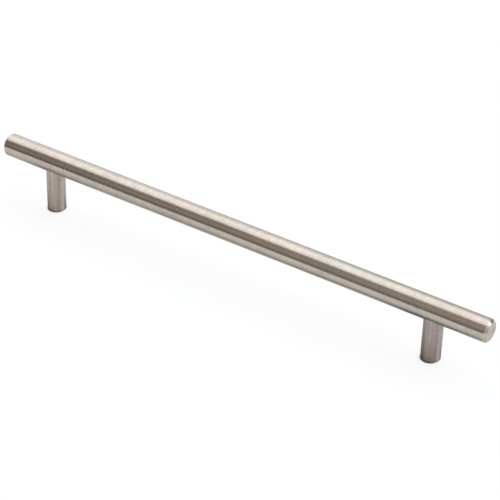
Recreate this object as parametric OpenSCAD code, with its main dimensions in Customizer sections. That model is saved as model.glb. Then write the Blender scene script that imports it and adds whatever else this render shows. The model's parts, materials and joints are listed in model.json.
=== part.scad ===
// T bar cabinet pull, in millimetres.
// A solid round bar is carried on two turned posts. Each post is let into a flat-bottomed
// round seat milled under the bar, so that the joint shows as a saddle, and is drawn up tight
// by a short stud with a hexagon socket. The feet are tapped for screws put in from behind.
// X runs along the bar and Z rises from the mounting surface. The origin lies on that
// surface, midway between the posts.

/* [Bar] */
// Diameter of the bar
bar_d = 12; // [10:0.5:16]
// How far the bar runs past the middle of each post
overhang = 30; // [12:1:90]
// Width of the chamfer turned round each end of the bar
bar_chamfer = 1.2; // [0.2:0.1:2.5]

/* [Posts] */
// Distance between the middles of the posts, and so between the fixing holes
hole_spacing = 224; // [64:32:640]
// Height of the front of the bar above the mounting surface
projection = 35; // [30:1:60]
// How much thinner each post is than the bar that it is let into
post_step = 2; // [1:0.5:3]
// Width of the chamfer round the foot of each post
foot_chamfer = 0.8; // [0.1:0.1:1]

/* [Fixing thread] */
// Nominal diameter of the fixing screw's thread
fixing_thread_d = 4; // [3:0.5:5]
// Pitch of the fixing screw's thread
fixing_pitch = 0.7; // [0.5:0.1:0.8]
// Depth of the full thread in each foot
fixing_depth = 10; // [6:0.5:11]

/* [Joining stud] */
// Nominal diameter of the stud's thread
stud_thread_d = 5; // [4:0.5:6]
// Pitch of the stud's thread
stud_pitch = 0.8; // [0.7:0.05:1]
// Length of the stud that is screwed into the bar
stud_in_bar = 5; // [3.5:0.5:5.5]
// Length of the stud that is screwed into the post
stud_in_post = 7; // [5:0.5:8]
// Width across the flats of the stud's hexagon socket
socket_flats = 2.5; // [2:0.1:2.6]
// Depth of the stud's hexagon socket
socket_depth = 2.8; // [1.5:0.1:4]

/* [Fits] */
// Gap all round between a post and the wall of its seat
seat_clearance = 0.05; // [0.02:0.01:0.15]
// How far a post goes in past the point where its seat is closed all round
seat_margin = 0.5; // [0.2:0.1:1]
// Space left past each end of the stud in its tapped hole
stud_end_space = 0.5; // [0.3:0.1:1]

/* [Hidden] */

nickel = [0.73, 0.69, 0.64];
plain_steel = [0.48, 0.48, 0.49];

$fn = 96;

// Half the cone left by a drill at the bottom of its hole
drill_half_angle = 59;
// How much wider than the thread the countersink at a hole's mouth is
countersink_lip = 0.2;
// How far a cutting shape runs out past the face that it cuts
cut_past = 1;
// Lead-in chamfers that are out of sight
lead_in = 0.4;
// Depth of an external thread, both sides together, for each unit of its pitch
thread_depth_ratio = 1.2269;

bar_r = bar_d / 2;
bar_length = hole_spacing + 2 * overhang;
bar_axis_z = projection - bar_r;
post_r = (bar_d - post_step) / 2;
seat_r = post_r + seat_clearance;

// Where the seat's wall runs out into the side of the bar, and the post's flat top above it
seat_closed_z = bar_axis_z - sqrt(bar_r * bar_r - seat_r * seat_r);
post_top_z = seat_closed_z + seat_margin;

fixing_tap_r = (fixing_thread_d - fixing_pitch) / 2;
stud_tap_r = (stud_thread_d - stud_pitch) / 2;
stud_core_r = (stud_thread_d - thread_depth_ratio * stud_pitch) / 2;
stud_length = stud_in_bar + stud_in_post;
stud_hole_in_bar = stud_in_bar + stud_end_space;
stud_hole_in_post = stud_in_post + stud_end_space;

// Radius of a tapped hole's countersunk mouth, and how deep the countersink goes
function mouth_r(thread_d) = (thread_d + countersink_lip) / 2;
function mouth_depth(thread_d, tap_r) = mouth_r(thread_d) - tap_r;
// Height of the drill's cone past the end of a hole of radius r
function drill_cone(r) = r / tan(drill_half_angle);

// Puts its children over the left foot (-1) or the right foot (1)
module at_post(side) translate([side * hole_spacing / 2, 0, 0]) children();

// Round bar along X with its ends chamfered, before anything is cut into it
module bar_blank() {
    half = bar_length / 2;
    face_r = bar_r - bar_chamfer;
    shoulder = half - bar_chamfer;
    translate([0, 0, bar_axis_z])
        rotate([0, 90, 0])
            rotate_extrude()
                polygon([
                    [0, -half], [face_r, -half], [bar_r, -shoulder],
                    [bar_r, shoulder], [face_r, half], [0, half]
                ]);
}

// Round pocket for the post's top, open downwards
module post_seat() {
    depth = post_top_z - (bar_axis_z - bar_r);
    translate([0, 0, post_top_z - depth - cut_past])
        cylinder(h = depth + cut_past, r = seat_r);
}

// Tapped hole for the stud, upwards from the floor of the seat
module bar_stud_hole() {
    mouth = mouth_r(stud_thread_d);
    sink = mouth_depth(stud_thread_d, stud_tap_r);
    translate([0, 0, post_top_z])
        rotate_extrude()
            polygon([
                [0, -cut_past], [mouth, -cut_past], [mouth, 0], [stud_tap_r, sink],
                [stud_tap_r, stud_hole_in_bar], [0, stud_hole_in_bar + drill_cone(stud_tap_r)]
            ]);
}

module bar() {
    color(nickel)
        difference() {
            bar_blank();
            for (side = [-1, 1])
                at_post(side) {
                    post_seat();
                    bar_stud_hole();
                }
        }
}

// Turned post with a tapped hole in each end, as one half section spun about its axis
module post() {
    foot_mouth = mouth_r(fixing_thread_d);
    foot_sink = mouth_depth(fixing_thread_d, fixing_tap_r);
    top_mouth = mouth_r(stud_thread_d);
    top_sink = mouth_depth(stud_thread_d, stud_tap_r);
    hole_floor_z = post_top_z - stud_hole_in_post;
    color(nickel)
        rotate_extrude()
            polygon([
                [foot_mouth, 0], [post_r - foot_chamfer, 0], [post_r, foot_chamfer],
                [post_r, post_top_z - lead_in], [post_r - lead_in, post_top_z],
                [top_mouth, post_top_z], [stud_tap_r, post_top_z - top_sink],
                [stud_tap_r, hole_floor_z], [0, hole_floor_z - drill_cone(stud_tap_r)],
                [0, fixing_depth + drill_cone(fixing_tap_r)], [fixing_tap_r, fixing_depth],
                [fixing_tap_r, foot_sink]
            ]);
}

module post_left() at_post(-1) post();

module post_right() at_post(1) post();

// Headless stud at the root diameter of its thread. Its socket faces the foot, so that the
// stud goes into the bar first and the post is then screwed up onto it.
module stud() {
    bottom_z = post_top_z - stud_in_post;
    tip_r = stud_core_r - lead_in;
    socket_r = socket_flats / 2 / cos(30);
    color(plain_steel)
        translate([0, 0, bottom_z])
            difference() {
                rotate_extrude()
                    polygon([
                        [0, 0], [tip_r, 0], [stud_core_r, lead_in],
                        [stud_core_r, stud_length - lead_in], [tip_r, stud_length],
                        [0, stud_length]
                    ]);
                translate([0, 0, -cut_past])
                    cylinder(h = socket_depth + cut_past, r = socket_r, $fn = 6);
            }
}

module stud_left() at_post(-1) stud();

module stud_right() at_post(1) stud();

bar();
post_left();
post_right();
stud_left();
stud_right();
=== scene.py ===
"""Looks of a t bar cabinet pull: satin nickel with turning marks, tapped feet and a plain studio.

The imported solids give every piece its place. The operators below give the bar, the posts and
the joining studs their metal, cut the screw threads into the feet, and set the stage.
Lengths are in metres. X runs along the bar, Z rises from the surface that the feet stand on.
"""

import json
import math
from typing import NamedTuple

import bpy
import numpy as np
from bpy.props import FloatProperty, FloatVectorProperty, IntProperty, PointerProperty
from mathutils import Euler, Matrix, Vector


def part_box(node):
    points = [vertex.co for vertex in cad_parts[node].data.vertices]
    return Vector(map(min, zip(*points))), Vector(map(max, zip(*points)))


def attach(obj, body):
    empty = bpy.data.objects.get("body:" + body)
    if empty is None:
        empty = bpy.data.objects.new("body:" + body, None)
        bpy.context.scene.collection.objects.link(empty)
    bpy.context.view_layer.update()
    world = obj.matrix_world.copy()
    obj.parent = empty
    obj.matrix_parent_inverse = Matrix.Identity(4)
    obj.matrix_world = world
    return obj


bl_info = {
    "name": "T Bar Cabinet Pull",
    "version": (1, 0, 0),
    "blender": (4, 5, 0),
    "location": "3D View > Sidebar > Cabinet Pull",
    "description": "Finishes, foot threads and studio of a t bar cabinet pull",
    "category": "Object",
}

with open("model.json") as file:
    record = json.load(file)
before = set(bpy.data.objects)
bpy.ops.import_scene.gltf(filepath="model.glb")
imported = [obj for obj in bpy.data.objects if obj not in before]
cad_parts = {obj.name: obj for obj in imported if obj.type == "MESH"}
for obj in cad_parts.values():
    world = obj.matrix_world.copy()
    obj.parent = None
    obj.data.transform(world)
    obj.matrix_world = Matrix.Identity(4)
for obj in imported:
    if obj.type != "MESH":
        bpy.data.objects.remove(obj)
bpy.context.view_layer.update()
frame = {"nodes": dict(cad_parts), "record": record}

MM = 0.001
COOL_WHITE = (0.93, 1.0, 1.04)
SIDES = {"left": -1, "right": 1}
MOUNTS = {mount["name"]: mount for mount in frame["record"]["mounts"]}
BAR_LOW, BAR_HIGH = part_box("bar")
BAR_RADIUS = (BAR_HIGH.z - BAR_LOW.z) / 2
BAR_AXIS_Z = (BAR_HIGH.z + BAR_LOW.z) / 2
POST_LOW, POST_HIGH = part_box("post_right")
POST_X = (POST_LOW.x + POST_HIGH.x) / 2


# Sizes and colours that a user would change


class NickelFinish(bpy.types.PropertyGroup):
    """Satin nickel over ground steel, on the bar and the posts."""

    color: FloatVectorProperty(
        name="Nickel",
        description="Colour of the plated metal between its marks",
        subtype="COLOR",
        size=3,
        min=0,
        max=1,
        default=(0.585, 0.521, 0.455),
    )
    mark_color: FloatVectorProperty(
        name="Marks",
        description="Colour in the bottom of the turning marks",
        subtype="COLOR",
        size=3,
        min=0,
        max=1,
        default=(0.475, 0.418, 0.36),
    )
    # The two post multipliers below are painted light: a lighter copy of the plating on the left post
    # and a slightly darker, bluer one on the right, for the different light on each.
    left_painted_light: FloatVectorProperty(
        name="Left Post Painted Light",
        description="Multiplies the plating's colour on the left post, which came out lighter",
        size=3,
        min=0.5,
        max=1.5,
        default=(1.12, 1.12, 1.12),
    )
    right_painted_shade: FloatVectorProperty(
        name="Right Post Painted Shade",
        description="Multiplies the plating's colour on the right post, which came out bluer",
        size=3,
        min=0.5,
        max=1.5,
        default=(0.985, 0.967, 1.03),
    )
    tint: FloatProperty(
        name="Tint",
        description="How strongly the plating's hue changes from place to place",
        min=0,
        max=1,
        default=0.11,
    )
    roughness: FloatProperty(
        name="Roughness",
        description="Mean roughness of the satin surface",
        min=0.05,
        max=1,
        default=0.28,
    )
    post_roughness: FloatProperty(
        name="Post Roughness",
        description="Mean roughness of the posts, which are turned a little coarser",
        min=0.05,
        max=1,
        default=0.34,
    )
    grain: FloatProperty(
        name="Grain Direction",
        description="How much further the gloss spreads along a piece than round it",
        min=0,
        max=1,
        default=0.95,
    )
    line_pitch: FloatProperty(
        name="Line Pitch",
        description="Mean distance between the fine turning lines",
        unit="LENGTH",
        min=0.05 * MM,
        max=2 * MM,
        default=0.4 * MM,
    )
    band_pitch: FloatProperty(
        name="Band Pitch",
        description="Mean width of the coarser bands that the grinding belt leaves",
        unit="LENGTH",
        min=0.3 * MM,
        max=20 * MM,
        default=2.4 * MM,
    )
    mark_depth: FloatProperty(
        name="Mark Depth",
        description="Depth of the turning marks",
        unit="LENGTH",
        min=0,
        max=0.05 * MM,
        default=0.004 * MM,
    )


class SteelFinish(bpy.types.PropertyGroup):
    """Plain steel of the joining studs and of the cut threads."""

    color: FloatVectorProperty(
        name="Steel",
        description="Colour of the bare steel",
        subtype="COLOR",
        size=3,
        min=0,
        max=1,
        default=(0.20, 0.20, 0.205),
    )
    roughness: FloatProperty(
        name="Roughness",
        description="Roughness of the bare steel",
        min=0.05,
        max=1,
        default=0.38,
    )


class FootThread(bpy.types.PropertyGroup):
    """Screw thread cut in each foot."""

    pitch: FloatProperty(
        name="Pitch",
        description="Rise of the thread in one turn",
        unit="LENGTH",
        min=0.3 * MM,
        max=1.5 * MM,
        default=0.7 * MM,
    )
    height: FloatProperty(
        name="Ridge Height",
        description="How far the ridge stands in from the wall of the hole",
        unit="LENGTH",
        min=0.02 * MM,
        max=0.4 * MM,
        default=0.09 * MM,
    )
    steps: IntProperty(
        name="Steps",
        description="Points of the ridge in one turn",
        min=12,
        max=96,
        default=48,
    )


class Studio(bpy.types.PropertyGroup):
    """Camera, lamps, cards and floor."""

    azimuth: FloatProperty(
        name="Azimuth",
        description="Camera's turn to the right of the front",
        subtype="ANGLE",
        default=math.radians(31.92),
    )
    elevation: FloatProperty(
        name="Elevation",
        description="Camera's height angle above the floor",
        subtype="ANGLE",
        default=math.radians(35.42),
    )
    roll: FloatProperty(
        name="Roll",
        description="Camera's turn about its own line of sight",
        subtype="ANGLE",
        default=math.radians(-1.63),
    )
    distance: FloatProperty(
        name="Distance",
        description="From the camera to the point that it looks at",
        unit="LENGTH",
        default=1.026,
    )
    target: FloatVectorProperty(
        name="Look At",
        description="Point that the camera looks at",
        subtype="TRANSLATION",
        size=3,
        default=(0.00833, 0, 0.0215),
    )
    focal_share: FloatProperty(
        name="Focal Share",
        description="Focal length as a multiple of the picture's width",
        default=4.14,
    )
    near_level: FloatProperty(
        name="Near Level",
        description="Brightness that the lamp in front of the overhead one adds",
        min=0,
        default=0.57,
    )
    overhead_level: FloatProperty(
        name="Overhead Level",
        description="Brightness that the overhead lamp's face adds to the white behind it",
        min=0,
        default=0.76,
    )
    rear_level: FloatProperty(
        name="Rear Level",
        description="Brightness that the lamp behind the overhead one adds",
        min=0,
        default=0.3,
    )
    fill_level: FloatProperty(
        name="Fill Level",
        description="Brightness of the light that comes from all round",
        min=0,
        default=0.5,
    )
    floor_color: FloatVectorProperty(
        name="Floor",
        description="Colour of the pale floor",
        subtype="COLOR",
        size=3,
        min=0,
        max=1,
        default=(0.85, 0.85, 0.85),
    )
    card_color: FloatVectorProperty(
        name="Front Card",
        description="Colour of the dark card in front, where it is brightest",
        subtype="COLOR",
        size=3,
        min=0,
        max=1,
        default=(0.42, 0.385, 0.35),
    )


# Node helpers


def link(tree, source, target):
    """Joins an output socket to an input socket."""
    tree.links.new(source, target)


def value_node(tree, operation, first, second=None, third=None):
    """Adds a Math node whose inputs are sockets or plain numbers, and returns its output."""
    node = tree.nodes.new("ShaderNodeMath")
    node.operation = operation
    for socket, given in zip(node.inputs, (first, second, third)):
        if given is None:
            continue
        if isinstance(given, (int, float)):
            socket.default_value = given
        else:
            link(tree, given, socket)
    return node.outputs[0]


def fill(tree, socket, given):
    """Links a socket into an input, or sets the input to a plain number."""
    if isinstance(given, (int, float)):
        socket.default_value = given
    else:
        link(tree, given, socket)


def combine(tree, x, y, z):
    """Puts three sockets or plain numbers into one vector."""
    node = tree.nodes.new("ShaderNodeCombineXYZ")
    for socket, given in zip(node.inputs, (x, y, z)):
        fill(tree, socket, given)
    return node.outputs[0]


def noise(tree, vector, scale, detail, output="Fac"):
    """Adds a Noise Texture on a vector and returns its value, from 0 to 1, or its Color."""
    node = tree.nodes.new("ShaderNodeTexNoise")
    node.inputs["Scale"].default_value = scale
    node.inputs["Detail"].default_value = detail
    link(tree, vector, node.inputs["Vector"])
    return node.outputs[output]


def spread(tree, value, low, high, out_low=0.0, out_high=1.0):
    """Maps low..high of a socket to out_low..out_high, and holds it there."""
    node = tree.nodes.new("ShaderNodeMapRange")
    link(tree, value, node.inputs["Value"])
    for name, number in (
        ("From Min", low),
        ("From Max", high),
        ("To Min", out_low),
        ("To Max", out_high),
    ):
        node.inputs[name].default_value = number
    return node.outputs["Result"]


def new_group(name, inputs, outputs):
    """Starts a shader node group and returns it with its input and output nodes."""
    group = bpy.data.node_groups.new(name, "ShaderNodeTree")
    for socket_name, kind, default in inputs:
        socket = group.interface.new_socket(
            name=socket_name, in_out="INPUT", socket_type=kind
        )
        if default is not None:
            socket.default_value = default
    for socket_name, kind in outputs:
        group.interface.new_socket(name=socket_name, in_out="OUTPUT", socket_type=kind)
    return group, group.nodes.new("NodeGroupInput"), group.nodes.new("NodeGroupOutput")


def flat_distance(tree, first, second):
    """Length of the vector with these two sockets as its sides."""
    square = value_node(tree, "MULTIPLY", second, second)
    return value_node(tree, "SQRT", value_node(tree, "MULTIPLY_ADD", first, first, square))


def edge_wear_and_glint_group():
    """Builds the bright lines along the two edges of a chamfered end: partly rubbing from use and
    partly a painted highlight.

    Position has the piece's axis along X, and End is the way from the origin to its end face.
    The outer edge lies at Radius, one Chamfer in from the end, and the inner edge one Chamfer
    nearer the axis, on the end face. The first output is up to 1 on the outer edge, up to 0.2 on
    the inner one, which is less exposed, and 0 away from both. On Chamfer is 1 between the two
    edges and fades out one more Chamfer along the wall.
    """
    name = "edge_wear"
    if name in bpy.data.node_groups:
        return bpy.data.node_groups[name]
    group, given, made = new_group(
        name,
        [
            ("Position", "NodeSocketVector", None),
            ("End", "NodeSocketFloat", 0.0),
            ("Chamfer", "NodeSocketFloat", 1.0 * MM),
            ("Radius", "NodeSocketFloat", 5.0 * MM),
        ],
        [("Wear and Glint", "NodeSocketFloat"), ("On Chamfer", "NodeSocketFloat")],
    )
    parts = group.nodes.new("ShaderNodeSeparateXYZ")
    link(group, given.outputs["Position"], parts.inputs[0])
    along, across, up = parts.outputs
    radius = flat_distance(group, across, up)
    from_end = value_node(
        group, "SUBTRACT", given.outputs["End"], value_node(group, "ABSOLUTE", along)
    )
    depth = value_node(group, "ABSOLUTE", from_end)
    inner_radius = value_node(group, "SUBTRACT", given.outputs["Radius"], given.outputs["Chamfer"])
    lines = []
    for edge_depth, edge_radius, strength in (
        (given.outputs["Chamfer"], given.outputs["Radius"], 1.0),
        (0.0, inner_radius, 0.2),
    ):
        off_depth = value_node(group, "SUBTRACT", depth, edge_depth)
        off_radius = value_node(group, "SUBTRACT", radius, edge_radius)
        distance = flat_distance(group, off_depth, off_radius)
        lines.append(spread(group, distance, 0.22 * MM, 0.06 * MM, 0.0, strength))
    patches = spread(group, noise(group, given.outputs["Position"], 700.0, 2.0), 0.35, 0.6, 0.35, 1.0)
    wear_and_glint = value_node(group, "MULTIPLY", value_node(group, "MAXIMUM", *lines), patches)
    link(group, wear_and_glint, made.inputs["Wear and Glint"])
    share = value_node(group, "DIVIDE", depth, given.outputs["Chamfer"])
    before_outer = spread(group, share, 2.0, 1.1)
    past_inner = spread(group, value_node(group, "SUBTRACT", radius, inner_radius), 0.0, 0.1 * MM)
    on_chamfer = value_node(group, "MULTIPLY", before_outer, past_inner)
    link(group, on_chamfer, made.inputs["On Chamfer"])
    return group


def scratches_group():
    """Builds a few hairline scratches, as fingers and rings leave.

    A scratch runs where a slow noise passes its middle value, and is kept only where a second
    noise is high. Scratch is 1 in a scratch and 0 elsewhere.
    """
    name = "hair_scratches"
    if name in bpy.data.node_groups:
        return bpy.data.node_groups[name]
    group, given, made = new_group(
        name, [("Position", "NodeSocketVector", None)], [("Scratch", "NodeSocketFloat")]
    )
    stretch = group.nodes.new("ShaderNodeMapping")
    stretch.inputs["Rotation"].default_value = (0.3, 0.5, 0.7)
    stretch.inputs["Scale"].default_value = (60.0, 190.0, 190.0)
    link(group, given.outputs["Position"], stretch.inputs["Vector"])
    field = noise(group, stretch.outputs[0], 1.0, 0.0)
    off_middle = value_node(group, "ABSOLUTE", value_node(group, "SUBTRACT", field, 0.5))
    line = spread(group, off_middle, 0.006, 0.001)
    kept = spread(group, noise(group, given.outputs["Position"], 120.0, 1.0), 0.56, 0.62)
    link(group, value_node(group, "MULTIPLY", line, kept), made.inputs["Scratch"])
    return group


def turning_marks_group():
    """Builds the marks that turning and belt grinding leave on a round piece.

    Position has the piece's axis along X. The marks run round that axis, so they depend on
    the way along the outline, which is the distance along the axis plus the radius, and only
    slowly on the angle round it. Lines are the fine marks, Bands the coarse ones, Streaks the
    soft lengthwise ones that polishing leaves, Cloud a slow change in the plating and Height
    the relief, all from 0 to 1. Tint is a slow change of hue round a middle grey.
    """
    name = "turning_marks"
    if name in bpy.data.node_groups:
        return bpy.data.node_groups[name]
    group, given, made = new_group(
        name,
        [
            ("Position", "NodeSocketVector", None),
            ("Lines per Metre", "NodeSocketFloat", 4500.0),
            ("Bands per Metre", "NodeSocketFloat", 600.0),
        ],
        [
            ("Lines", "NodeSocketFloat"),
            ("Bands", "NodeSocketFloat"),
            ("Streaks", "NodeSocketFloat"),
            ("Cloud", "NodeSocketFloat"),
            ("Tint", "NodeSocketColor"),
            ("Height", "NodeSocketFloat"),
        ],
    )
    parts = group.nodes.new("ShaderNodeSeparateXYZ")
    link(group, given.outputs["Position"], parts.inputs[0])
    along, across, up = parts.outputs
    radius = value_node(group, "MAXIMUM", flat_distance(group, across, up), 1e-5)
    outline = value_node(group, "ADD", along, radius)
    side = value_node(group, "DIVIDE", across, radius)
    rise = value_node(group, "DIVIDE", up, radius)

    def round_noise(per_metre, turns, detail):
        """Noise with its own pace along the outline and round the axis."""
        pace = value_node(group, "MULTIPLY", outline, per_metre)
        turn_a = value_node(group, "MULTIPLY", side, turns)
        turn_b = value_node(group, "MULTIPLY", rise, turns)
        return noise(group, combine(group, pace, turn_a, turn_b), 1.0, detail)

    lines = spread(group, round_noise(given.outputs["Lines per Metre"], 2.6, 3.0), 0.3, 0.7)
    bands = spread(group, round_noise(given.outputs["Bands per Metre"], 1.2, 2.0), 0.3, 0.7)
    streaks = spread(group, round_noise(25.0, 3.2, 1.0), 0.3, 0.7)
    cloud = spread(group, noise(group, given.outputs["Position"], 45.0, 3.0), 0.3, 0.7)
    tint = noise(group, given.outputs["Position"], 90.0, 2.0, "Color")
    height = weighted(group, (bands, 0.68), (lines, 0.32))
    for name, value in (
        ("Lines", lines),
        ("Bands", bands),
        ("Streaks", streaks),
        ("Cloud", cloud),
        ("Tint", tint),
        ("Height", height),
    ):
        link(group, value, made.inputs[name])
    return group


def fresh_material(name):
    """Makes a material with an empty node tree and returns it with its output node."""
    material = bpy.data.materials.new(name)
    material.use_nodes = True
    material.node_tree.nodes.clear()
    return material, material.node_tree.nodes.new("ShaderNodeOutputMaterial")


def mixed_color(tree, factor, first, second):
    """Mixes two colours by a socket from 0 to 1."""
    node = tree.nodes.new("ShaderNodeMix")
    node.data_type = "RGBA"
    link(tree, factor, node.inputs[0])
    node.inputs[6].default_value = (*first, 1.0)
    node.inputs[7].default_value = (*second, 1.0)
    return node.outputs[2]


# Metals


def weighted(tree, *pairs):
    """Sum of sockets, each times its weight."""
    total = 0.0
    for socket, weight in pairs:
        total = value_node(tree, "MULTIPLY_ADD", socket, weight, total)
    return total


class RoundPiece(NamedTuple):
    """Where a round piece lies and how its end is chamfered.

    centre is a point on its axis, turn the rotation that lays the axis along X for the
    patterns, and axis its letter in the shared frame. end is the way from centre to the end
    face along the axis.
    """

    centre: Vector
    turn: Euler
    axis: str
    end: float
    chamfer: float
    radius: float


def round_piece(node_name, centre, turn, axis, end):
    """Works out a piece's radius and chamfer from the corners of its mesh."""
    node = frame["nodes"][node_name]
    places = [turn.to_matrix() @ (node.matrix_world @ v.co - centre) for v in node.data.vertices]
    radius = max(place.yz.length for place in places)
    on_face = [place for place in places if abs(abs(place.x) - end) < 0.01 * MM]
    face_radius = max(place.yz.length for place in on_face)
    return RoundPiece(centre, turn, axis, end, radius - face_radius, radius)


def add_group(tree, group, position):
    """Adds a node for a group and gives it the position."""
    node = tree.nodes.new("ShaderNodeGroup")
    node.node_tree = group
    link(tree, position, node.inputs["Position"])
    return node


def position_on_axis(tree, centre, turn):
    """Object coordinates moved and turned so that a piece's axis is the X axis."""
    place = tree.nodes.new("ShaderNodeTexCoord")
    mapping = tree.nodes.new("ShaderNodeMapping")
    mapping.inputs["Rotation"].default_value = turn
    mapping.inputs["Location"].default_value = -(turn.to_matrix() @ centre)
    link(tree, place.outputs["Object"], mapping.inputs["Vector"])
    return mapping.outputs[0]


def multiplied_color(tree, factor, color, constant):
    """Multiplies a colour socket by a constant colour, as far as a socket from 0 to 1 says."""
    node = tree.nodes.new("ShaderNodeMix")
    node.data_type = "RGBA"
    node.blend_type = "MULTIPLY"
    link(tree, factor, node.inputs[0])
    link(tree, color, node.inputs[6])
    node.inputs[7].default_value = (*constant, 1.0)
    return node.outputs[2]


def nickel_material(name, piece, roughness, streak_share, wear_and_glint_share, chamfer_painted_shade, painted_light_cast=(1, 1, 1)):
    """Satin nickel with marks round the axis of a RoundPiece.

    streak_share is how much of the pattern the soft lengthwise streaks take. The next argument
    says how bright the edges are, partly rubbing from use and partly a painted highlight; the one
    after it how much darker the chamfer is painted, a painted shade for the dark floor that it
    mirrors; and the last multiplies the colour, channel by channel, a lighter or darker copy of
    the plating painted for the light on each post.
    """
    finish = bpy.context.scene.pull_nickel
    material, output = fresh_material(name)
    tree = material.node_tree
    position = position_on_axis(tree, piece.centre, piece.turn)
    marks = add_group(tree, turning_marks_group(), position)
    marks.inputs["Lines per Metre"].default_value = 1 / finish.line_pitch
    marks.inputs["Bands per Metre"].default_value = 1 / finish.band_pitch
    # Bright lines along the chamfer's edges: partly rubbing from use, partly a painted highlight.
    wear_and_glint_node = add_group(tree, edge_wear_and_glint_group(), position)
    wear_and_glint_node.inputs["End"].default_value = piece.end
    wear_and_glint_node.inputs["Chamfer"].default_value = piece.chamfer
    wear_and_glint_node.inputs["Radius"].default_value = piece.radius
    wear_and_glint = wear_and_glint_node.outputs["Wear and Glint"]
    scratch = add_group(tree, scratches_group(), position).outputs["Scratch"]

    shader = tree.nodes.new("ShaderNodeBsdfPrincipled")
    shader.inputs["Anisotropic"].default_value = finish.grain
    shader.inputs["Anisotropic Rotation"].default_value = 0.25
    rings = 1 - streak_share
    tone = weighted(
        tree,
        (marks.outputs["Lines"], 0.10 * rings),
        (marks.outputs["Bands"], 0.50 * rings),
        (marks.outputs["Cloud"], 0.40 * rings),
        (marks.outputs["Streaks"], streak_share),
        (scratch, -0.5),
        (wear_and_glint, wear_and_glint_share),
    )
    held = spread(tree, tone, 0.4 * streak_share, 1 - 0.4 * streak_share)
    link(tree, spread(tree, held, 0.0, 1.0, 0.90, 1.0), shader.inputs["Metallic"])
    # The post's colour multiplier makes a lighter or darker copy of the plating: painted light.
    darker = [share * channel for share, channel in zip(painted_light_cast, finish.mark_color)]
    lighter = [share * channel for share, channel in zip(painted_light_cast, finish.color)]
    tinted = tree.nodes.new("ShaderNodeMix")
    tinted.data_type = "RGBA"
    tinted.blend_type = "OVERLAY"
    tinted.inputs[0].default_value = finish.tint
    link(tree, mixed_color(tree, held, darker, lighter), tinted.inputs[6])
    link(tree, marks.outputs["Tint"], tinted.inputs[7])
    # The chamfer's colour is darkened: painted shade for the dark floor that it mirrors.
    on_chamfer = value_node(tree, "MULTIPLY", wear_and_glint_node.outputs["On Chamfer"], chamfer_painted_shade)
    base = multiplied_color(tree, on_chamfer, tinted.outputs[2], (0.3, 0.29, 0.28))
    link(tree, base, shader.inputs["Base Color"])
    rough = spread(tree, marks.outputs["Lines"], 0.0, 1.0, roughness * 1.12, roughness * 0.9)
    link(tree, value_node(tree, "MULTIPLY_ADD", wear_and_glint, -0.06, rough), shader.inputs["Roughness"])
    bump = tree.nodes.new("ShaderNodeBump")
    bump.inputs["Strength"].default_value = 0.3
    bump.inputs["Distance"].default_value = finish.mark_depth
    relief = value_node(tree, "MULTIPLY_ADD", scratch, -0.6, marks.outputs["Height"])
    link(tree, relief, bump.inputs["Height"])
    link(tree, bump.outputs[0], shader.inputs["Normal"])
    tangent = tree.nodes.new("ShaderNodeTangent")
    tangent.direction_type = "RADIAL"
    tangent.axis = piece.axis
    link(tree, tangent.outputs[0], shader.inputs["Tangent"])
    link(tree, shader.outputs[0], output.inputs["Surface"])
    return material


def steel_material(name, centre, turn):
    """Plain cut steel with marks round the piece's axis, for studs and threads."""
    finish = bpy.context.scene.pull_steel
    material, output = fresh_material(name)
    tree = material.node_tree
    marks = add_group(tree, turning_marks_group(), position_on_axis(tree, centre, turn))
    shader = tree.nodes.new("ShaderNodeBsdfPrincipled")
    shader.inputs["Metallic"].default_value = 1.0
    darker = [0.7 * channel for channel in finish.color]
    link(
        tree,
        mixed_color(tree, marks.outputs["Lines"], darker, finish.color),
        shader.inputs["Base Color"],
    )
    rough = spread(tree, marks.outputs["Bands"], 0, 1, finish.roughness * 0.9, finish.roughness * 1.15)
    link(tree, rough, shader.inputs["Roughness"])
    link(tree, shader.outputs[0], output.inputs["Surface"])
    return material


def give_material(node_name, material):
    """Puts a material in every slot of a CAD node."""
    for slot in frame["nodes"][node_name].material_slots:
        slot.material = material


UNTURNED = Euler((0, 0, 0))
UPRIGHT = Euler((0, math.radians(90), 0))


class PULL_OT_bar(bpy.types.Operator):
    """Give the bar its satin nickel, with marks round the X axis"""

    bl_idname = "pull.bar"
    bl_label = "Bar"

    def execute(self, context):
        piece = round_piece("bar", Vector((0, 0, BAR_AXIS_Z)), UNTURNED, "X", BAR_HIGH.x)
        rough = context.scene.pull_nickel.roughness
        give_material("bar", nickel_material("nickel_bar", piece, rough, 0.1, 0.6, 0.0))
        return {"FINISHED"}


class PULL_OT_posts(bpy.types.Operator):
    """Give both posts their satin nickel, with marks round their own axes"""

    bl_idname = "pull.posts"
    bl_label = "Posts"

    def execute(self, context):
        finish = context.scene.pull_nickel
        # Each post gets a lighter or darker copy of the plating: painted light.
        painted_light_casts = {"left": finish.left_painted_light, "right": finish.right_painted_shade}
        for side, sign in SIDES.items():
            node_name = f"post_{side}"
            piece = round_piece(node_name, Vector((sign * POST_X, 0, 0)), UPRIGHT, "Z", 0.0)
            material = nickel_material(
                f"nickel_{node_name}", piece, finish.post_roughness, 0.6, 0.1, 0.85, painted_light_casts[side]
            )
            give_material(node_name, material)
        return {"FINISHED"}


class PULL_OT_studs(bpy.types.Operator):
    """Give the joining studs their plain steel"""

    bl_idname = "pull.studs"
    bl_label = "Joining Studs"

    def execute(self, context):
        for side, sign in SIDES.items():
            centre = Vector((sign * POST_X, 0, 0))
            give_material(f"stud_{side}", steel_material(f"steel_stud_{side}", centre, UPRIGHT))
        return {"FINISHED"}


# Foot threads


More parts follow.
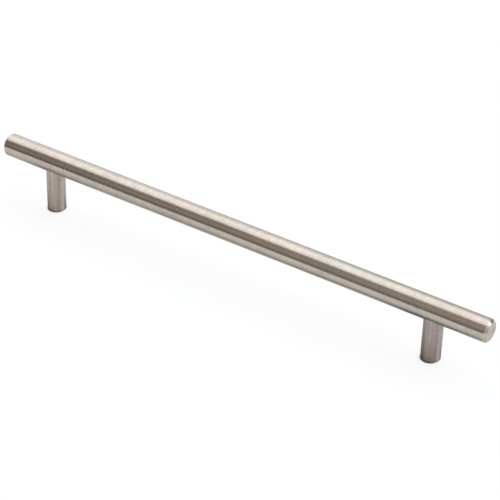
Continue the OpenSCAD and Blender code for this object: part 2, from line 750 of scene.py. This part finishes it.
def mesh_from_grid(name, points):
    """Makes an object from an array of points of shape (rows, columns, 3).

    Each cell of the grid becomes one four-sided face. The object stays at the origin.
    """
    rows, columns, _ = points.shape
    index = np.arange(rows * columns).reshape(rows, columns)
    corners = (index[:-1, :-1], index[1:, :-1], index[1:, 1:], index[:-1, 1:])
    faces = np.stack(corners, axis=-1).reshape(-1, 4)
    mesh = bpy.data.meshes.new(name)
    mesh.vertices.add(rows * columns)
    mesh.vertices.foreach_set("co", points.reshape(-1).astype(np.float32))
    mesh.loops.add(faces.size)
    mesh.loops.foreach_set("vertex_index", faces.reshape(-1).astype(np.int32))
    mesh.polygons.add(len(faces))
    mesh.polygons.foreach_set("loop_start", np.arange(0, faces.size, 4, dtype=np.int32))
    mesh.update(calc_edges=True)
    mesh.validate()
    piece = bpy.data.objects.new(name, mesh)
    bpy.context.scene.collection.objects.link(piece)
    return piece


def thread_ridge(name, centre_x, hole_radius, start_z, length, sizes):
    """Makes the ridge of a screw thread on the wall of an upright round hole.

    The turn angle a runs along the ridge and the section's corners run across it:
    radius = hole radius - height of the corner, x = centre + radius * cos(a),
    y = radius * sin(a) and z = start + pitch * a / (2 pi) + rise of the corner. The ridge
    fades in over its first half turn and out over its last.
    """
    turns = length / sizes.pitch - 1
    angle = np.linspace(0, 2 * np.pi * turns, int(turns * sizes.steps) + 1)
    sunk = 0.01 * MM
    heights = np.array([-sunk, 0.85, 1.0, 0.85, -sunk])
    heights = np.where(heights > 0, heights * sizes.height, heights)
    rises = np.array([-0.42, -0.12, 0.0, 0.12, 0.42]) * sizes.pitch
    fade = np.clip(np.minimum(angle, angle[-1] - angle) / np.pi, 0, 1)[:, None]
    radius = hole_radius - np.where(heights > 0, heights * fade, heights)
    centre_z = start_z + sizes.pitch * (angle / (2 * np.pi) + 0.5)
    points = np.stack(
        [
            centre_x + radius * np.cos(angle)[:, None],
            radius * np.sin(angle)[:, None],
            centre_z[:, None] + rises[None, :] + 0 * radius,
        ],
        axis=-1,
    )
    return mesh_from_grid(name, points)


class PULL_OT_threads(bpy.types.Operator):
    """Cut the screw thread into the hole of each foot"""

    bl_idname = "pull.threads"
    bl_label = "Foot Threads"

    def execute(self, context):
        sizes = context.scene.pull_thread
        for side, sign in SIDES.items():
            mount = MOUNTS[f"{side}_foot_thread"]
            radius = mount["dims"]["r_mm"] * MM
            length = mount["dims"]["length_mm"] * MM
            start_z = 0.5 * MM
            ridge = thread_ridge(f"foot_thread_{side}", sign * POST_X, radius, start_z, length, sizes)
            centre = Vector((sign * POST_X, 0, 0))
            ridge.data.materials.append(steel_material(f"steel_thread_{side}", centre, UPRIGHT))
            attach(ridge, "root")
        return {"FINISHED"}


# Stage


def seen_directly(tree):
    """1 for rays that show the background to the eye, in metal or through glass, else 0."""
    path = tree.nodes.new("ShaderNodeLightPath")
    glossy = value_node(
        tree, "MAXIMUM", path.outputs["Is Camera Ray"], path.outputs["Is Glossy Ray"]
    )
    return value_node(tree, "MAXIMUM", glossy, path.outputs["Is Transmission Ray"])


def white_world(fill_level):
    """World that is white to look at and lights the scene at the fill level."""
    world = bpy.data.worlds.new("studio_world")
    bpy.context.scene.world = world
    world.use_nodes = True
    tree = world.node_tree
    tree.nodes.clear()
    output = tree.nodes.new("ShaderNodeOutputWorld")
    light = tree.nodes.new("ShaderNodeBackground")
    light.inputs["Strength"].default_value = fill_level
    light.inputs["Color"].default_value = (1, 1, 1, 1)
    white = tree.nodes.new("ShaderNodeBackground")
    white.inputs["Color"].default_value = (1, 1, 1, 1)
    mix = tree.nodes.new("ShaderNodeMixShader")
    link(tree, seen_directly(tree), mix.inputs[0])
    link(tree, light.outputs[0], mix.inputs[1])
    link(tree, white.outputs[0], mix.inputs[2])
    link(tree, mix.outputs[0], output.inputs["Surface"])


def bump_curve(tree, value, centre, width):
    """Bell curve exp(-((value - centre) / width) ** 2) of a socket."""
    offset = value_node(tree, "SUBTRACT", value, centre)
    share = value_node(tree, "DIVIDE", offset, width)
    square = value_node(tree, "MULTIPLY", share, share)
    return value_node(tree, "EXPONENT", value_node(tree, "MULTIPLY", square, -1.0))


def floor_shade_group():
    """Builds the shade that the pull throws on the floor.

    Under Bar is a soft band along the bar, a little in front of it, stronger to the right and
    weaker at the left foot, with a faint patch past the right end that the end face mirrors.
    Round Feet is the shade round each foot: a tight core, and beyond it darker to the left, to
    the back and on the camera's side. It goes below 0 at the right and front of the right foot,
    where the floor is brighter. Contact is the thin dark line where a foot meets the floor, and
    Under Foot the wider dark ring that a foot's chamfer mirrors. Apart from that brighter place
    all run from 0, no shade, to 1.
    """
    group, given, made = new_group(
        "floor_shade",
        [("Position", "NodeSocketVector", None)],
        [
            ("Under Bar", "NodeSocketFloat"),
            ("Round Feet", "NodeSocketFloat"),
            ("Contact", "NodeSocketFloat"),
            ("Under Foot", "NodeSocketFloat"),
        ],
    )
    parts = group.nodes.new("ShaderNodeSeparateXYZ")
    link(group, given.outputs["Position"], parts.inputs[0])
    along, across, _ = parts.outputs
    from_middle = value_node(group, "ADD", across, 0.007)
    width = value_node(group, "MULTIPLY_ADD", along, -0.05, 0.020)
    in_front = bump_curve(group, value_node(group, "MINIMUM", from_middle, 0.0), 0.0, width)
    behind = bump_curve(group, value_node(group, "MAXIMUM", from_middle, 0.0), 0.0, 0.009)
    band = value_node(group, "MULTIPLY", in_front, behind)
    ends = value_node(
        group, "MULTIPLY", spread(group, along, 0.17, 0.125), spread(group, along, -0.20, -0.14)
    )
    slant = value_node(group, "MULTIPLY_ADD", along, 1.3, 0.54)
    at_left_foot = bump_curve(group, along, -0.106, 0.018)
    strength = value_node(group, "MULTIPLY_ADD", at_left_foot, -0.12, slant)
    under = value_node(group, "MULTIPLY", value_node(group, "MULTIPLY", band, ends), strength)
    beyond_end = value_node(group, "SUBTRACT", along, 0.170)
    behind_end = value_node(group, "SUBTRACT", across, 0.038)
    past_end = bump_curve(group, flat_distance(group, beyond_end, behind_end), 0.0, 0.022)
    shaded = value_node(group, "MULTIPLY_ADD", past_end, 0.10, under)
    link(group, shaded, made.inputs["Under Bar"])
    from_foot = value_node(group, "SUBTRACT", value_node(group, "ABSOLUTE", along), POST_X)
    side = value_node(group, "SIGN", along)
    rightward = value_node(group, "MULTIPLY", from_foot, side)

    def reach(left, front):
        """Distance on the floor from a point a little left and in front of the foot's middle."""
        node = group.nodes.new("ShaderNodeVectorMath")
        node.operation = "LENGTH"
        moved_x = value_node(group, "ADD", rightward, left)
        moved_y = value_node(group, "ADD", across, front)
        link(group, combine(group, moved_x, moved_y, 0.0), node.inputs[0])
        return node.outputs["Value"]

    distance = value_node(group, "MAXIMUM", reach(0.0, 0.0), 0.001)
    to_right = value_node(group, "DIVIDE", rightward, distance)
    to_back = value_node(group, "DIVIDE", across, distance)
    to_camera = value_node(
        group,
        "ADD",
        value_node(group, "MULTIPLY", to_right, value_node(group, "MULTIPLY_ADD", side, -0.165, 0.525)),
        value_node(group, "MULTIPLY", to_back, value_node(group, "MULTIPLY_ADD", side, -0.105, -0.825)),
    )
    at_left = spread(group, to_right, -0.3, -0.9, 0.0, 0.50)
    left_reach = spread(group, distance, 0.032, 0.022)
    at_camera = spread(group, to_camera, 0.975, 1.0, 0.0, 0.17)
    at_back = spread(group, to_back, 0.0, 0.4, 0.0, 0.5)
    far_back = spread(group, to_back, 0.7, 0.95, 0.0, -0.34)
    near_sides = weighted(group, (at_camera, 1.0), (at_back, 1.0), (far_back, 1.0))
    near = value_node(group, "MULTIPLY", near_sides, spread(group, distance, 0.045, 0.035))
    broad = value_node(group, "MULTIPLY_ADD", at_left, left_reach, near)
    core = bump_curve(group, reach(-0.001, 0.003), 0.0, 0.013)
    core_share = value_node(group, "MULTIPLY_ADD", side, -0.13, 0.25)
    gleam = value_node(group, "MULTIPLY", bump_curve(group, reach(-0.012, 0.010), 0.0, 0.009), side)
    core_shade = value_node(group, "MULTIPLY_ADD", core, core_share, broad)
    patch = value_node(group, "MULTIPLY_ADD", value_node(group, "MAXIMUM", gleam, 0.0), -0.3, core_shade)
    link(group, patch, made.inputs["Round Feet"])
    contact = spread(group, reach(0.0006, 0.0001), 0.0050, 0.0043, 0.0, 0.9)
    link(group, contact, made.inputs["Contact"])
    under_foot = spread(group, reach(0.0016, 0.0006), 0.0067, 0.0055, 0.0, 0.95)
    link(group, under_foot, made.inputs["Under Foot"])
    return group


def floor_material(color):
    """Pale floor that keeps the pull's shadow, lifted to white for the eye.

    The metal mirrors the floor as a glowing white sheet with the pull's shade painted on it, a
    painted reflection, also painted a little brighter in front at the left and cooler behind the bar.
    """
    material, output = fresh_material("pale_floor")
    tree = material.node_tree
    path = tree.nodes.new("ShaderNodeLightPath")
    matt = tree.nodes.new("ShaderNodeBsdfDiffuse")
    matt.inputs["Color"].default_value = (*color, 1)

    place = tree.nodes.new("ShaderNodeTexCoord")
    shade = tree.nodes.new("ShaderNodeGroup")
    shade.node_tree = floor_shade_group()
    link(tree, place.outputs["Object"], shade.inputs["Position"])
    open_bar = value_node(tree, "SUBTRACT", 1.0, shade.outputs["Under Bar"])
    open_feet = value_node(tree, "SUBTRACT", 1.0, shade.outputs["Round Feet"])
    open_contact = value_node(tree, "SUBTRACT", 1.0, shade.outputs["Contact"])
    open_under = value_node(tree, "SUBTRACT", 1.0, shade.outputs["Under Foot"])

    half_matt = tree.nodes.new("ShaderNodeBsdfDiffuse")
    half_matt.inputs["Color"].default_value = (*(0.28 * channel for channel in color), 1)
    lift = tree.nodes.new("ShaderNodeEmission")
    # The glow that lifts the floor to white is cut where each foot meets it: a painted contact shadow.
    link(tree, value_node(tree, "MULTIPLY", open_contact, 0.82), lift.inputs["Strength"])
    near = tree.nodes.new("ShaderNodeAddShader")
    link(tree, half_matt.outputs[0], near.inputs[0])
    link(tree, lift.outputs[0], near.inputs[1])

    # Painted reflection: the floor that the metal sees glows, with the painted shade, a little brighter
    # in front at the left and cooler behind the bar.
    mirrored = tree.nodes.new("ShaderNodeEmission")
    parts = tree.nodes.new("ShaderNodeSeparateXYZ")
    link(tree, place.outputs["Object"], parts.inputs[0])
    toward_left = spread(tree, parts.outputs[0], 0.1, -0.15)
    in_front = spread(tree, parts.outputs[1], -0.05, -0.12, 0.0, 0.08)
    front_left_glow = value_node(tree, "MULTIPLY_ADD", toward_left, in_front, 1.0)
    broad = value_node(tree, "MULTIPLY", open_bar, open_feet)
    shaded = value_node(tree, "MULTIPLY", broad, open_under)
    link(tree, value_node(tree, "MULTIPLY", shaded, front_left_glow), mirrored.inputs["Strength"])
    behind = spread(tree, parts.outputs[1], 0.01, 0.05)
    cool_glow = [1.03 * channel for channel in COOL_WHITE]
    link(tree, mixed_color(tree, behind, (1, 1, 1), cool_glow), mirrored.inputs["Color"])

    eye = tree.nodes.new("ShaderNodeMixShader")
    link(tree, path.outputs["Is Camera Ray"], eye.inputs[0])
    link(tree, matt.outputs[0], eye.inputs[1])
    link(tree, near.outputs[0], eye.inputs[2])
    metal = tree.nodes.new("ShaderNodeMixShader")
    glossy = value_node(
        tree, "MAXIMUM", path.outputs["Is Glossy Ray"], path.outputs["Is Transmission Ray"]
    )
    link(tree, glossy, metal.inputs[0])
    link(tree, eye.outputs[0], metal.inputs[1])
    link(tree, mirrored.outputs[0], metal.inputs[2])
    link(tree, metal.outputs[0], output.inputs["Surface"])
    return material


def flat_piece(name, corners):
    """Makes a flat four-cornered stage piece."""
    mesh = bpy.data.meshes.new(name)
    mesh.from_pydata([tuple(corner) for corner in corners], [], [(0, 1, 2, 3)])
    piece = bpy.data.objects.new(name, mesh)
    bpy.context.scene.collection.objects.link(piece)
    return piece


def card(name, corners, color, strength=None):
    """Makes a glowing card that only the metal sees, a painted reflection, light or dark, in place
    of a photographer's flag outside the picture. It throws no shadow.

    strength is a function that adds nodes to the card's material and returns a socket.
    """
    piece = flat_piece(name, corners)
    material, output = fresh_material(name)
    tree = material.node_tree
    glow = tree.nodes.new("ShaderNodeEmission")
    glow.inputs["Color"].default_value = (*color, 1)
    if strength:
        link(tree, strength(tree), glow.inputs["Strength"])
    link(tree, glow.outputs[0], output.inputs["Surface"])
    piece.data.materials.append(material)
    piece.visible_camera = False
    piece.visible_diffuse = False
    piece.visible_shadow = False
    return piece


def front_card_strength(tree):
    """Brightest at mid height, darker towards the floor and towards the top left."""
    place = tree.nodes.new("ShaderNodeTexCoord")
    parts = tree.nodes.new("ShaderNodeSeparateXYZ")
    link(tree, place.outputs["Object"], parts.inputs[0])
    along, _, height = parts.outputs
    low = spread(tree, height, 0.06, 0.17, 0.40, 1.0)
    high = spread(tree, height, 0.26, 0.38, 0.0, -0.24)
    rise = spread(tree, height, 0.42, 0.75, 0.0, 0.4)
    level = value_node(tree, "ADD", value_node(tree, "ADD", low, high), rise)
    lower_slope = spread(tree, height, 0.18, 0.25, 1.0, 1.7)
    slope = value_node(tree, "ADD", lower_slope, spread(tree, height, 0.30, 0.40, 0.0, 0.7))
    sideways = value_node(tree, "MINIMUM", value_node(tree, "ADD", along, 0.16), 0.11)
    lean = value_node(tree, "MULTIPLY", sideways, slope)
    held = value_node(tree, "MINIMUM", value_node(tree, "ADD", level, lean), 1.1)
    return value_node(tree, "MAXIMUM", held, 0.15)


def back_card_strength(tree):
    """White at the left and greyer towards the right, more so near the floor."""
    place = tree.nodes.new("ShaderNodeTexCoord")
    parts = tree.nodes.new("ShaderNodeSeparateXYZ")
    link(tree, place.outputs["Object"], parts.inputs[0])
    low = spread(tree, parts.outputs[0], -0.44, -0.12, 1.2, 0.5)
    high = spread(tree, parts.outputs[0], -0.45, -0.15, 1.22, 0.95)
    share = spread(tree, parts.outputs[2], 0.20, 0.33)
    difference = value_node(tree, "SUBTRACT", high, low)
    return value_node(tree, "MULTIPLY_ADD", difference, share, low)


def lamp(name, centre, aim, width, depth, level, color=(1, 1, 1)):
    """Makes a soft rectangular lamp whose face has the given brightness.

    A lamp's power in watts is brightness * pi * area. width lies along X.
    """
    data = bpy.data.lights.new(name, "AREA")
    data.shape = "RECTANGLE"
    data.size = width
    data.size_y = depth
    data.energy = level * math.pi * width * depth
    data.color = color
    light = bpy.data.objects.new(name, data)
    bpy.context.scene.collection.objects.link(light)
    toward = (Vector(aim) - Vector(centre)).normalized()
    across = Vector((1, 0, 0))
    up = (-toward).cross(across).normalized()
    across = up.cross(-toward).normalized()
    turn = Matrix((across, up, -toward)).transposed()
    light.matrix_world = Matrix.Translation(centre) @ turn.to_4x4()
    return light


def add_camera(studio):
    """Places the camera on its azimuth and elevation round the target, with its roll."""
    azimuth, elevation, roll = studio.azimuth, studio.elevation, studio.roll
    back = Vector(
        (
            math.sin(azimuth) * math.cos(elevation),
            -math.cos(azimuth) * math.cos(elevation),
            math.sin(elevation),
        )
    )
    level = Vector((0, 0, 1)).cross(back).normalized()
    up = back.cross(level)
    right = math.cos(roll) * level - math.sin(roll) * up
    top = math.sin(roll) * level + math.cos(roll) * up
    data = bpy.data.cameras.new("camera")
    data.lens = studio.focal_share * data.sensor_width
    data.clip_start = 0.01
    camera = bpy.data.objects.new("camera", data)
    bpy.context.scene.collection.objects.link(camera)
    place = Vector(studio.target) + studio.distance * back
    camera.matrix_world = Matrix.Translation(place) @ Matrix((right, top, back)).transposed().to_4x4()
    bpy.context.scene.camera = camera


class PULL_OT_stage(bpy.types.Operator):
    """Set the floor, the lamps, the dark cards and the camera"""

    bl_idname = "pull.stage"
    bl_label = "Stage"

    def execute(self, context):
        studio = context.scene.pull_studio
        context.scene.view_settings.view_transform = "Standard"
        white_world(studio.fill_level)
        reach = 4.0
        floor = flat_piece(
            "floor", [(-reach, -reach, 0), (reach, -reach, 0), (reach, reach, 0), (-reach, reach, 0)]
        )
        floor.data.materials.append(floor_material(studio.floor_color))
        rise = 0.8
        edges = [rise / math.tan(math.radians(angle)) for angle in (75, 98, 132, 163)]
        for name, start, end, level in (
            ("near_lamp", edges[0], edges[1], studio.near_level),
            ("overhead_lamp", edges[1], edges[2], studio.overhead_level),
            ("rear_lamp", edges[2], edges[3], studio.rear_level),
        ):
            middle = -(start + end) / 2
            lamp(
                name,
                (0, middle, BAR_AXIS_Z + rise),
                (0, middle, 0),
                3.0,
                start - end,
                level,
                COOL_WHITE,
            )
        side_lamp = lamp(
            "side_lamp", (0.754, 0.353, 0.405), (0.142, 0, BAR_AXIS_Z), 0.38, 0.18, 4.0
        )
        side_lamp.visible_diffuse = False
        # The cards below glow for the metal only, painted reflections: a dark one in front, a white one
        # behind, and black ones at the back right and low at the left.
        front_y = -0.28
        card(
            "front_card",
            [
                (-1.3, front_y, 0),
                (1.0, front_y, 0),
                (1.0, front_y, 1.63),
                (-1.3, front_y, 0.185),
            ],
            studio.card_color,
            front_card_strength,
        )
        back_y = 0.7
        card(
            "back_card",
            [(-1.4, back_y, 0), (0.25, back_y, 0), (0.25, back_y, 0.5), (-1.4, back_y, 0.5)],
            COOL_WHITE,
            back_card_strength,
        )
        card(
            "back_flag",
            [(0.28, back_y, 0.03), (0.82, back_y, 0.03), (0.82, back_y, 0.46), (0.28, back_y, 0.46)],
            (0.01, 0.01, 0.01),
        )
        card(
            "left_card",
            [(-0.19, 0.0, 0.001), (-0.19, 0.085, 0.001), (-0.27, 0.085, 0.03), (-0.27, 0.0, 0.03)],
            (0.02, 0.02, 0.02),
        )
        add_camera(studio)
        return {"FINISHED"}


class PULL_PT_panel(bpy.types.Panel):
    """Lists the pull's pieces and its stage"""

    bl_idname = "PULL_PT_panel"
    bl_label = "Cabinet Pull"
    bl_space_type = "VIEW_3D"
    bl_region_type = "UI"
    bl_category = "Cabinet Pull"

    def draw(self, context):
        for operator in OPERATORS:
            self.layout.operator(operator.bl_idname)


SETTINGS = {
    "pull_nickel": NickelFinish,
    "pull_steel": SteelFinish,
    "pull_thread": FootThread,
    "pull_studio": Studio,
}
OPERATORS = (PULL_OT_bar, PULL_OT_posts, PULL_OT_studs, PULL_OT_threads, PULL_OT_stage)
CLASSES = (*SETTINGS.values(), *OPERATORS, PULL_PT_panel)


def register():
    for item in CLASSES:
        bpy.utils.register_class(item)
    for name, group in SETTINGS.items():
        setattr(bpy.types.Scene, name, PointerProperty(type=group))


def unregister():
    for name in SETTINGS:
        delattr(bpy.types.Scene, name)
    for item in reversed(CLASSES):
        bpy.utils.unregister_class(item)


def main():
    register()
    bpy.ops.pull.stage()
    bpy.ops.pull.bar()
    bpy.ops.pull.posts()
    bpy.ops.pull.studs()
    bpy.ops.pull.threads()


if __name__ == "__main__":
    main()
